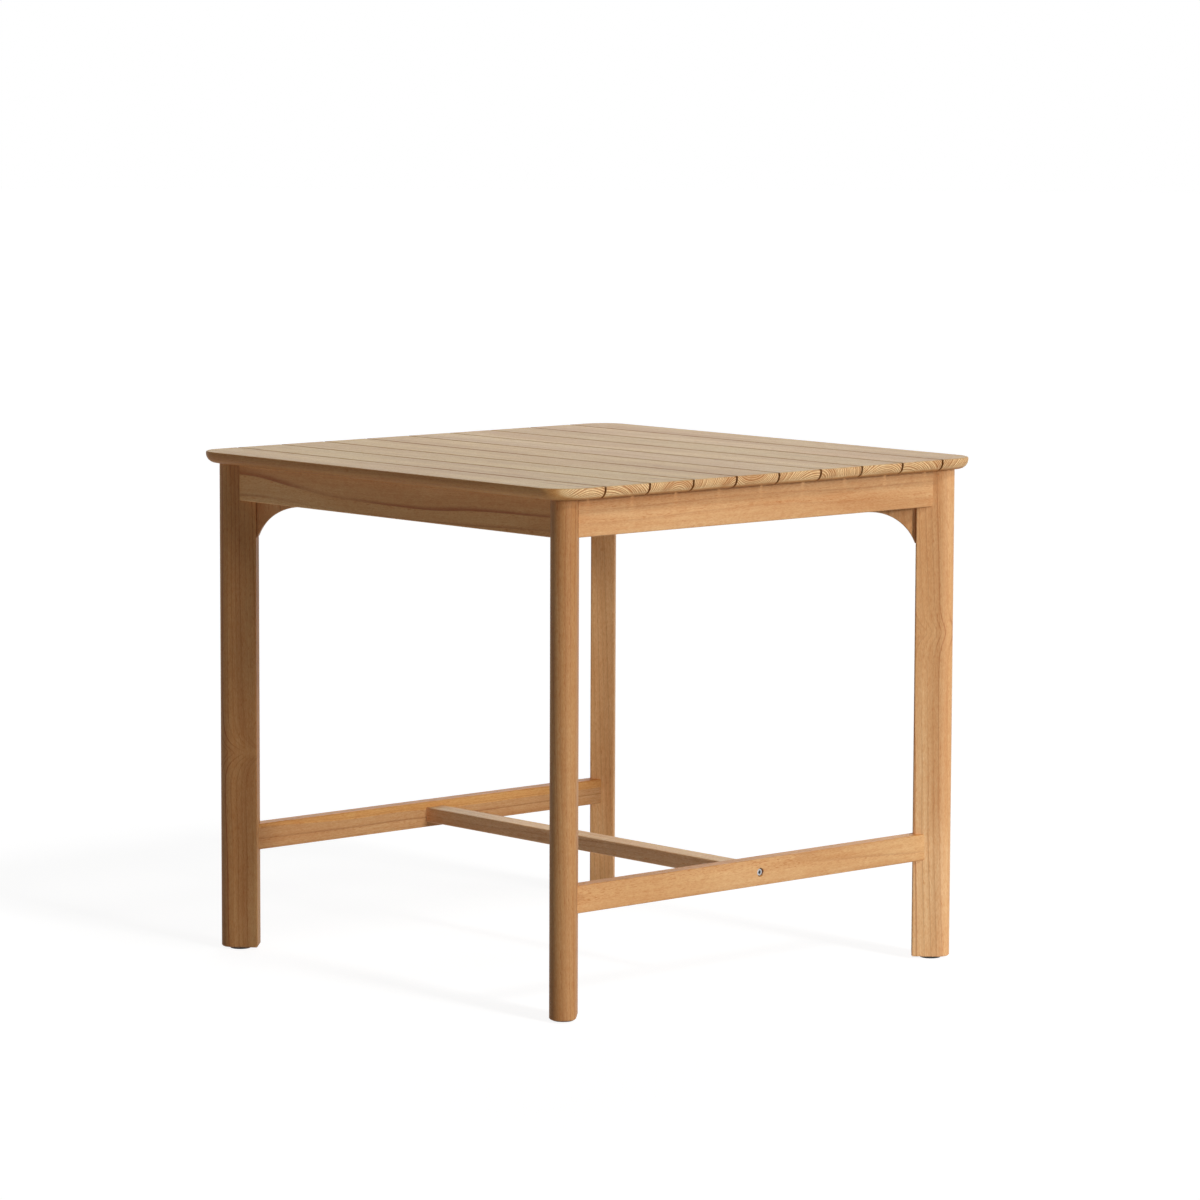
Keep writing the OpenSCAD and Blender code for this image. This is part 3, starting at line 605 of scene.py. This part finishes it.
# %% Aprons and stretchers
sawn("apron_front", lengthwise, (0.050, 0.030), (1.3, 0.8), figure=1.3, rings=0.012, sway=0.055,
     tint=(1.18, 1.25, 1.24), start=21.4)
sawn("apron_right", crosswise, (0.060, -0.050), (0.5, -0.6), figure=0.5, rings=0.012,
     tint=(0.89, 0.90, 0.93), start=24.9)
sawn("apron_back", lengthwise, (-0.055, 0.040), (0.9, 0.5), figure=0.9, rings=0.009, start=27.2)
sawn("apron_left", crosswise, (0.045, 0.050), (-0.8, 0.6), figure=0.9, rings=0.010, start=30.8)
sawn("side_stretcher_right", crosswise, (0.055, 0.020), (0.6, 0.5), figure=0.6, rings=0.009,
     tint=(1.00, 1.08, 1.14), start=33.5, upper=(1.15, 1.0, 0.65))
# Painted light: the upper tint and the core tint lay a strip of low light along this stretcher's upper edge
# and top, above the shadow of the right-hand stretcher.
sawn("side_stretcher_left", crosswise, (-0.050, 0.030), (0.7, -0.5), figure=0.7, rings=0.009,
     tint=(0.79, 0.77, 0.74), start=36.1, upper=(1.35, 1.15, 0.70),
     core=(1.18, 1.12, 0.85), core_reach=0.0427)
# Painted light: the tint brightens this board as light thrown up from the floor would, and the upper tint
# adjusts its top face.
sawn("middle_stretcher", lengthwise, (0.030, -0.050), (0.5, 0.7), figure=0.6, rings=0.008,
     tint=(1.29, 1.40, 1.66), start=39.7, upper=(0.99, 1.12, 1.06))
print("aprons and stretchers sawn")

# %% [markdown]
# ## Hidden timber
# Braces, ledgers and the batten get darker, plainer tones than the boards on show. They can be seen
# from below, so they get the same care: a grain direction each, and end grain.

# %% Braces, ledgers and batten
ledger_runs = {"front": lengthwise, "back": lengthwise, "left": crosswise, "right": crosswise}
for number, (corner, (to_x, to_y)) in enumerate(down_corners.items()):
    sawn("corner_brace_" + corner, (to_x, -to_y, 0), (0.04, 0.05), (0.8, 0.8), tones="inner",
         start=43.0 + 1.3 * number)
for number, (side, run) in enumerate(ledger_runs.items()):
    sawn("ledger_" + side, run, (0.05, -0.035), (0.5, 0.7), tones="inner", start=50.0 + 2.1 * number)
sawn("centre_batten", crosswise, (0.03, 0.05), (0.6, 0.6), tones="inner", start=61.0)
print("inner timber sawn")

# %% [markdown]
# ## Metal and plastic
# The bolts, washers and screws are steel with a thin coat of zinc: grey, a little cloudy, and not quite
# even in gloss. The inserts and barrel nuts are turned brass, with fine rings left by the tool. The
# feet stand on dark moulded plastic with a fine matt grain. None of them is one flat value: a noise
# moves colour and roughness, and a finer one moves the surface.

# %% Metal and plastic finishes
def hard_finish(name, light, dark, gloss, matt, patches, grain, relief, metallic):
    """patches and grain: how many there are in a metre. relief: the depth of the grain, in metres."""
    finish = bpy.data.materials.new(name)
    tree = fresh_tree(finish)
    spot = put(tree, "ShaderNodeTexCoord").outputs["Object"]
    cloudy = clouds(tree, spot, (patches, patches, patches), detail=3.0, roughness=0.6)
    fine = clouds(tree, spot, grain, detail=2.0)
    clear, thick = 0.35, 0.65
    colour = blend_colours(tree, between(tree, cloudy, clear, thick), light, dark)
    rough = plus(tree, between(tree, cloudy, clear, thick, gloss, matt), times(tree, fine, 0.08))
    bumped = put(tree, "ShaderNodeBump", {"Strength": 0.5, "Distance": relief, "Height": fine})
    shader = put(tree, "ShaderNodeBsdfPrincipled", {
        "Base Color": colour, "Roughness": rough, "Normal": bumped.outputs["Normal"], "Metallic": metallic,
    })
    put(tree, "ShaderNodeOutputMaterial", {"Surface": shader.outputs[0]})
    return finish


zinc = hard_finish(
    "zinc_on_steel", light=(0.66, 0.67, 0.68, 1), dark=(0.48, 0.49, 0.50, 1), gloss=0.26, matt=0.42,
    patches=260, grain=(2600, 2600, 2600), relief=0.00003, metallic=1.0,
)
brass = hard_finish(
    "turned_brass", light=(0.80, 0.62, 0.31, 1), dark=(0.62, 0.45, 0.20, 1), gloss=0.24, matt=0.38,
    patches=220, grain=(400, 400, 5200), relief=0.00003, metallic=1.0,
)
foot_plastic = hard_finish(
    "dark_moulded_plastic", light=(0.030, 0.027, 0.024, 1), dark=(0.018, 0.017, 0.016, 1), gloss=0.42,
    matt=0.58, patches=180, grain=(3800, 3800, 3800), relief=0.00005, metallic=0.0,
)
print("zinc, brass and plastic ready")

# %% [markdown]
# ## Turning small parts
# Bolts, screws, washers and pads are all round, so they start as on a lathe. `turned` adds a circle and
# walks up the part's profile: each step extrudes the last ring to a new height and scales it to a new
# radius. A filled circle leaves one face below and carries one up, so the part is closed at every step.
# `choose` selects points by their place, which is how later steps find a rim, a cap or every second
# ridge.

# %% Lathe helpers
mm = 0.001
weld = 0.000004


def nothing_selected():
    if bpy.context.object is not None and bpy.context.object.mode == "EDIT":
        bpy.ops.object.mode_set(mode="OBJECT")
    bpy.ops.object.select_all(action="DESELECT")


def pick(piece):
    nothing_selected()
    piece.select_set(True)
    bpy.context.view_layer.objects.active = piece


def outward(piece):
    pick(piece)
    bpy.ops.object.mode_set(mode="EDIT")
    bpy.ops.mesh.select_all(action="SELECT")
    bpy.ops.mesh.remove_doubles(threshold=weld)
    bpy.ops.mesh.normals_make_consistent(inside=False)
    bpy.ops.object.mode_set(mode="OBJECT")


def turned(name, sides, profile, ring=False):
    """profile: (radius, height) pairs in millimetres. A ring ends where it began and has a hole."""
    nothing_selected()
    radius, height = profile[0]
    bpy.ops.mesh.primitive_circle_add(
        vertices=sides, radius=radius * mm, fill_type="NOTHING" if ring else "NGON", location=(0, 0, 0)
    )
    piece = bpy.context.object
    piece.name = name
    bpy.ops.object.mode_set(mode="EDIT")
    bpy.ops.mesh.select_mode(type="VERT")
    bpy.ops.mesh.select_all(action="SELECT")
    bpy.ops.transform.translate(value=(0, 0, height * mm))
    for next_radius, next_height in profile[1:]:
        step = (0, 0, (next_height - height) * mm)
        bpy.ops.mesh.extrude_region_move(TRANSFORM_OT_translate={"value": step})
        ratio = next_radius / radius
        bpy.ops.transform.resize(value=(ratio, ratio, 1), center_override=(0, 0, 0))
        radius, height = next_radius, next_height
    outward(piece)
    return piece


def ridges(start, end, core, crest, count):
    """A thread as rings: the profile's steps from start to end."""
    pitch = (end - start) / count
    steps = [(core, start)]
    for number in range(count):
        steps.append((crest, start + (number + 0.5) * pitch))
        steps.append((core, start + (number + 1) * pitch))
    return steps


print("lathe ready")

# %% Finding points by their place
def choose(piece, rule):
    pick(piece)
    bpy.ops.object.mode_set(mode="EDIT")
    bpy.ops.mesh.select_mode(type="VERT")
    bpy.ops.mesh.select_all(action="DESELECT")
    bpy.ops.object.mode_set(mode="OBJECT")
    for point in piece.data.vertices:
        point.select = rule(point.co)
    bpy.ops.object.mode_set(mode="EDIT")


def reach_of(place):
    """How far a point is from the axis, in millimetres."""
    return math.hypot(place.x, place.y) / mm


def step_of(place, count):
    """Which of `count` equal steps round the axis a point is at."""
    return round(math.atan2(place.y, place.x) / (2 * math.pi) * count)


slack = 0.02


def near(value, target):
    """Whether two measures in millimetres agree, but for rounding."""
    return abs(value - target) < slack


print("points can be chosen")

# %% [markdown]
# A drive recess is sunk into a head in four moves: take the cap off, lay a small outline in its plane,
# bridge the two outlines, then push the small one down and close it. Six points give a hexagon socket.
# Twelve points with every third one pulled in give the cross of a wood screw. `cut` runs a Boolean for
# the few shapes that a lathe can't make, and `set_out` copies a finished part to all its places and
# joins the copies into one piece.

# %% Recesses, cuts and copies
def sink_recess(piece, top, corners, radius, depth, pinch=None, floor_share=0.8):
    """pinch pulls every third point in to that share. floor_share narrows the recess to its floor."""
    choose(piece, lambda place: near(place.z / mm, top))
    bpy.ops.mesh.delete(type="ONLY_FACE")
    bpy.ops.mesh.primitive_circle_add(vertices=corners, radius=radius * mm, location=(0, 0, top * mm))
    if pinch is not None:
        choose(piece, lambda place: near(place.z / mm, top) and near(reach_of(place), radius)
               and step_of(place, corners) % 3 == 0)
        bpy.ops.transform.resize(value=(pinch, pinch, 1), center_override=(0, 0, top * mm))
    choose(piece, lambda place: near(place.z / mm, top))
    bpy.ops.mesh.bridge_edge_loops()
    choose(piece, lambda place: near(place.z / mm, top) and reach_of(place) < radius + slack)
    bpy.ops.mesh.extrude_region_move(TRANSFORM_OT_translate={"value": (0, 0, -depth * mm)})
    bpy.ops.transform.resize(value=(floor_share, floor_share, 1), center_override=(0, 0, 0))
    bpy.ops.mesh.edge_face_add()
    outward(piece)


def cut(piece, tool, operation="DIFFERENCE"):
    pick(piece)
    step = piece.modifiers.new("cut", "BOOLEAN")
    step.operation = operation
    step.solver = "EXACT"
    step.object = tool
    bpy.ops.object.modifier_apply(modifier=step.name)
    bpy.data.objects.remove(tool)


def standing(at, along=(0, 0, 1), turn=0.0):
    """A place for a part: its foot at `at` (mm), its own Z along `along`, turned round itself."""
    aim = Vector(along).to_track_quat("Z", "Y").to_matrix().to_4x4()
    return Matrix.Translation(Vector(at) * mm) @ aim @ Matrix.Rotation(turn, 4, "Z")


def set_out(master, places, name):
    copies = []
    for place in places:
        pick(master)
        bpy.ops.object.duplicate(linked=False)
        copy = bpy.context.object
        copy.matrix_world = place
        bpy.ops.object.transform_apply(location=True, rotation=True, scale=True)
        copies.append(copy)
    nothing_selected()
    for copy in copies:
        copy.select_set(True)
    bpy.context.view_layer.objects.active = copies[0]
    if len(copies) > 1:
        bpy.ops.object.join()
    piece = bpy.context.object
    piece.name = name
    return piece


def hand_over(piece, node, finish, crease=32):
    """Gives a piece its finish and its place in the frame."""
    piece.data.materials.clear()
    piece.data.materials.append(finish)
    pick(piece)
    bpy.ops.object.shade_smooth_by_angle(angle=math.radians(crease))
    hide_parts(node)
    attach(piece, "root")
    print(piece.name, len(piece.data.polygons), "faces, stands for", node)


print("recess, cut and copy helpers ready")

# %% [markdown]
# ## Stretcher bolts
# One bright socket-head bolt shows in the right-hand stretcher, a little off its middle, sunk in a
# round counterbore. It is an M8 with a 13 mm head. The side of the head is knurled, so that fingers can
# start it: we pull every second line of points in by a quarter of a millimetre. The thread is drawn as
# rings, because it sits inside the barrel nut and only its outline could ever be seen.

# %% Socket-head bolts
head_radius, head_height, bolt_radius, bolt_length = 6.5, 8.0, 3.95, 65.0
knurl_lines, knurl_share = 72, 0.965
profile = [(3.1, -bolt_length)]
profile += ridges(-bolt_length + 0.8, -37.0, 3.4, bolt_radius, 22)
profile += [(bolt_radius, -36.5), (bolt_radius, -0.5), (4.1, 0.0)]
profile += [(head_radius - 0.25, 0.0), (head_radius, 0.3), (head_radius, head_height - 0.9)]
profile += [(head_radius - 0.2, head_height - 0.45), (head_radius - 0.8, head_height)]
socket_bolt = turned("socket_bolt", knurl_lines, profile)
choose(socket_bolt, lambda place: near(reach_of(place), head_radius)
       and step_of(place, knurl_lines) % 2 == 1)
bpy.ops.transform.resize(value=(knurl_share, knurl_share, 1), center_override=(0, 0, 0))
sink_recess(socket_bolt, head_height, corners=6, radius=3.45, depth=4.0, floor_share=0.96)
seat_x, bolt_y, bolt_z = 439.45, 10.0, 203.5
right_seat = standing((seat_x, bolt_y, bolt_z), (1, 0, 0), 0.3)
left_seat = standing((-seat_x, bolt_y, bolt_z), (-1, 0, 0), 0.9)
bolts = set_out(socket_bolt, [right_seat, left_seat], "socket_head_bolts")
bpy.data.objects.remove(socket_bolt)
hand_over(bolts, "stretcher_bolts", zinc)

# %% [markdown]
# ## Barrel nuts and dowels
# The bolt pulls against a barrel nut: a short brass cylinder that stands upright in the middle
# stretcher, with a cross hole for the bolt and a screwdriver slot underneath to line it up. Beside each
# bolt a fluted teak dowel stops the rail from turning. Its flutes let glue and air out when it is
# driven in.

# %% Barrel nuts
nut_radius, nut_height, cross_radius = 6.0, 20.0, 4.05
slot_width, slot_depth = 1.6, 1.6
barrel_nut = turned(
    "barrel_nut", 48, [(5.5, 0), (nut_radius, 0.5), (nut_radius, nut_height - 0.5), (5.5, nut_height)]
)
cross_hole = turned("cross_hole", 40, [(cross_radius, -10), (cross_radius, 10)])
cross_hole.matrix_world = standing((0, 0, nut_height / 2), (1, 0, 0))
cut(barrel_nut, cross_hole)
nothing_selected()
bpy.ops.mesh.primitive_cube_add(size=1, location=(0, 0, 0))
slot_cutter = bpy.context.object
slot_cutter.scale = (nut_height * mm, slot_width * mm, 2 * slot_depth * mm)
cut(barrel_nut, slot_cutter)
nut_x, nut_foot = 385.95, 193.5
nuts = set_out(
    barrel_nut,
    [standing((nut_x, bolt_y, nut_foot)), standing((-nut_x, bolt_y, nut_foot))],
    "slotted_barrel_nuts",
)
bpy.data.objects.remove(barrel_nut)
hand_over(nuts, "stretcher_barrel_nuts", brass)

# %% Dowels
dowel_sides, dowel_radius, flute_share = 36, 3.95, 0.93
dowel = turned("dowel", dowel_sides, [(3.0, -18), (dowel_radius, -16.6), (dowel_radius, 16.6), (3.0, 18)])
choose(dowel, lambda place: near(reach_of(place), dowel_radius)
       and step_of(place, dowel_sides) % 2 == 1)
bpy.ops.transform.resize(value=(flute_share, flute_share, 1), center_override=(0, 0, 0))
dowel_x = 419.95
dowels = set_out(
    dowel,
    [standing((dowel_x, -bolt_y, bolt_z), (1, 0, 0)), standing((-dowel_x, -bolt_y, bolt_z), (1, 0, 0))],
    "fluted_dowels",
)
bpy.data.objects.remove(dowel)
dowel_teak = timber("dowels", "stretcher_dowels", lengthwise, (0.04, 0.03), tones="inner", start=66.0)
hand_over(dowels, "stretcher_dowels", dowel_teak)

# %% [markdown]
# ## Leg bolts, washers and inserts
# Each leg is pulled into its corner by two long hexagon bolts that run on the diagonal: through the
# brace and the knee block into brass inserts in the leg. A real bolt head has its six corners taken off
# by a cone, which leaves curved edges on the flats. That is what a Boolean of a hexagon and a cone
# gives.

# %% Hexagon bolts
hex_corner_radius, hex_height, leg_bolt_length = 7.5, 5.3, 130.0
hexagon = turned("hexagon", 6, [(hex_corner_radius, 0.0), (hex_corner_radius, hex_height)])
cone = turned("cone", 64, [(6.9, -0.2), (8.6, 0.6), (8.6, hex_height - 1.2), (6.2, hex_height)])
cut(hexagon, cone, "INTERSECT")
profile = [(3.0, -leg_bolt_length)]
profile += ridges(-leg_bolt_length + 0.9, -100.0, 3.35, bolt_radius, 23)
profile += [(bolt_radius, -99.4), (bolt_radius, 1.5)]
cut(hexagon, turned("shank", 40, profile), "UNION")
diagonal = math.sqrt(0.5)
bolt_levels = (833.0, 855.0)
half_top = 500.0
washer_face = 228.6


def bolt_places(inwards, own_turns=False):
    """Two places on each corner's diagonal, `inwards` millimetres from the top's sharp corner.

    With own_turns each bolt's flats stand at an angle of their own, as a spanner leaves them.
    """
    reach = half_top - inwards * diagonal
    places = []
    for number, (to_x, to_y) in enumerate(down_corners.values()):
        for level in bolt_levels:
            turn = 0.4 + 0.9 * number + level if own_turns else 0.0
            places.append(standing((to_x * reach, to_y * reach, level), (-to_x, -to_y, 0), turn))
    return places


leg_bolts = set_out(hexagon, bolt_places(washer_face, own_turns=True), "hexagon_bolts")
bpy.data.objects.remove(hexagon)
hand_over(leg_bolts, "leg_bolts", zinc)

# %% Washers
washer_back = 227.0
washer = turned("washer", 48, [
    (4.3, 0.2), (4.5, 0), (8.7, 0), (9, 0.25), (9, 1.3), (8.75, 1.6), (4.5, 1.6), (4.3, 1.4), (4.3, 0.2),
], ring=True)
washers = set_out(washer, bolt_places(washer_back), "flat_washers")
bpy.data.objects.remove(washer)
hand_over(washers, "leg_bolt_washers", zinc)

# %% Threaded inserts
insert_start, insert_length, insert_radius, insert_bore = 95.0, 20.0, 5.95, 4.05
profile = [(insert_bore, 0.4), (4.5, 0)]
profile += ridges(0.3, insert_length - 1.6, 5.1, insert_radius, 8)
profile += [(insert_radius, insert_length - 1.4), (insert_radius, insert_length), (4.5, insert_length)]
profile += [(insert_bore, insert_length - 0.4), (insert_bore, 0.4)]
insert = turned("insert", 40, profile, ring=True)
inserts = set_out(insert, bolt_places(insert_start), "threaded_inserts")
bpy.data.objects.remove(insert)
hand_over(inserts, "leg_inserts", brass)

# %% [markdown]
# ## Wood screws
# Slats, ledgers and braces are held by countersunk screws with a cross recess. One screw is modelled
# from its point to its head, then made in the three lengths that the table uses. Nobody lines up screws
# on the underside of a table, so every copy is turned on from the last one by the golden angle, which
# never comes round to the same place.

# %% A countersunk screw
recess_points = 12
golden_angle = 2.399


def wood_screw(name, length):
    """The head's face is at 0 and the point at -length."""
    plain_part = 0.36 * length
    steps = [(0.12, -length), (0.9, -length + 2.2)]
    steps += ridges(-length + 2.4, -plain_part, 1.3, 1.98, int((length - 2.4 - plain_part) / 1.7))
    steps += [(1.45, -plain_part + 0.4), (1.45, -2.9), (1.75, -2.35)]
    steps += [(3.82, -0.32), (3.95, -0.15), (3.8, 0)]
    screw = turned(name, 24, steps)
    sink_recess(screw, 0.0, recess_points, radius=2.3, depth=1.5, pinch=0.42, floor_share=0.45)
    return screw


def driven(x, y, level, along, number):
    """A screw's place, its face at `level`. The number gives it an angle of its own."""
    return standing((x, y, level), along, (number * golden_angle) % (2 * math.pi))


print("screws can be made")

# %% Slat screws
slat_pitch, slat_width, screw_face = 100.45, 95.95, 866.0
end_row, pair_half = 423.0, 23.99
slat_middles = [-half_top + slat_pitch * number + slat_width / 2 for number in range(10)]
slat_spots = []
for row in (-end_row, end_row):
    slat_spots += [(x, row) for x in (-280.0, -140.0, 0.0, 140.0, 280.0)]
for middle in slat_middles[1:-1]:
    slat_spots += [(-end_row, middle), (end_row, middle)]
    slat_spots += [(0.0, middle - pair_half), (0.0, middle + pair_half)]
places = [driven(x, y, screw_face, (0, 0, -1), number) for number, (x, y) in enumerate(slat_spots)]
screw = wood_screw("slat_screw", 32.0)
slat_fixings = set_out(screw, places, "screws_under_slats")
bpy.data.objects.remove(screw)
hand_over(slat_fixings, "slat_screws", zinc)

# %% Ledger screws
ledger_face, ledger_level = 412.0, 876.0
places = []
for along in (-300.0, -100.0, 100.0, 300.0):
    for side in (-1, 1):
        places.append(driven(along, side * ledger_face, ledger_level, (0, -side, 0), len(places)))
        places.append(driven(side * ledger_face, along, ledger_level, (-side, 0, 0), len(places)))
screw = wood_screw("ledger_screw", 34.0)
ledger_fixings = set_out(screw, places, "screws_in_ledgers")
bpy.data.objects.remove(screw)
hand_over(ledger_fixings, "ledger_screws", zinc)

# %% Brace screws
brace_face, brace_spot, brace_levels = 424.0, half_top - 239.47, (834.0, 854.0)
places = []
for to_x, to_y in down_corners.values():
    for level in brace_levels:
        places.append(driven(to_x * brace_face, to_y * brace_spot, level, (-to_x, 0, 0), len(places)))
        places.append(driven(to_x * brace_spot, to_y * brace_face, level, (0, -to_y, 0), len(places)))
screw = wood_screw("brace_screw", 22.0)
brace_fixings = set_out(screw, places, "screws_in_braces")
bpy.data.objects.remove(screw)
hand_over(brace_fixings, "brace_screws", zinc)

# %% [markdown]
# ## Feet
# Under every leg a dark pad keeps the end grain off wet stone. It is a moulded disc with a soft lower
# edge and a hollow in the middle, where a ringed nail holds it. The nail's head sits a millimetre up,
# so it never scratches.

# %% Foot pads
pad = turned("pad", 64, [
    (1.7, 4.0), (1.7, 2.0), (4.1, 2.0), (4.1, 0.25), (4.5, 0.0), (17.4, 0.0), (18.2, 0.3), (18.8, 0.9),
    (19.0, 1.6), (19.0, 3.5), (18.7, 3.85), (18.2, 4.0), (1.7, 4.0),
], ring=True)
leg_place = 442.72
for corner, (to_x, to_y) in down_corners.items():
    foot_pad = set_out(pad, [standing((to_x * leg_place, to_y * leg_place, 0))], "foot_pad_" + corner)
    hand_over(foot_pad, "glide_" + corner, foot_plastic)
bpy.data.objects.remove(pad)

# %% Ringed nails
profile = [(3.3, 1.02), (3.9, 1.3), (3.95, 1.6), (3.8, 1.97), (1.9, 1.98), (1.55, 2.6), (1.55, 6.0)]
profile += ridges(6.4, 19.0, 1.35, 1.58, 9)
profile += [(1.4, 20.0), (0.15, 23.8)]
nail = turned("nail", 24, profile)
places = [standing((to_x * leg_place, to_y * leg_place, 0)) for to_x, to_y in down_corners.values()]
nails = set_out(nail, places, "ringed_nails")
bpy.data.objects.remove(nail)
hand_over(nails, "glide_nails", zinc)
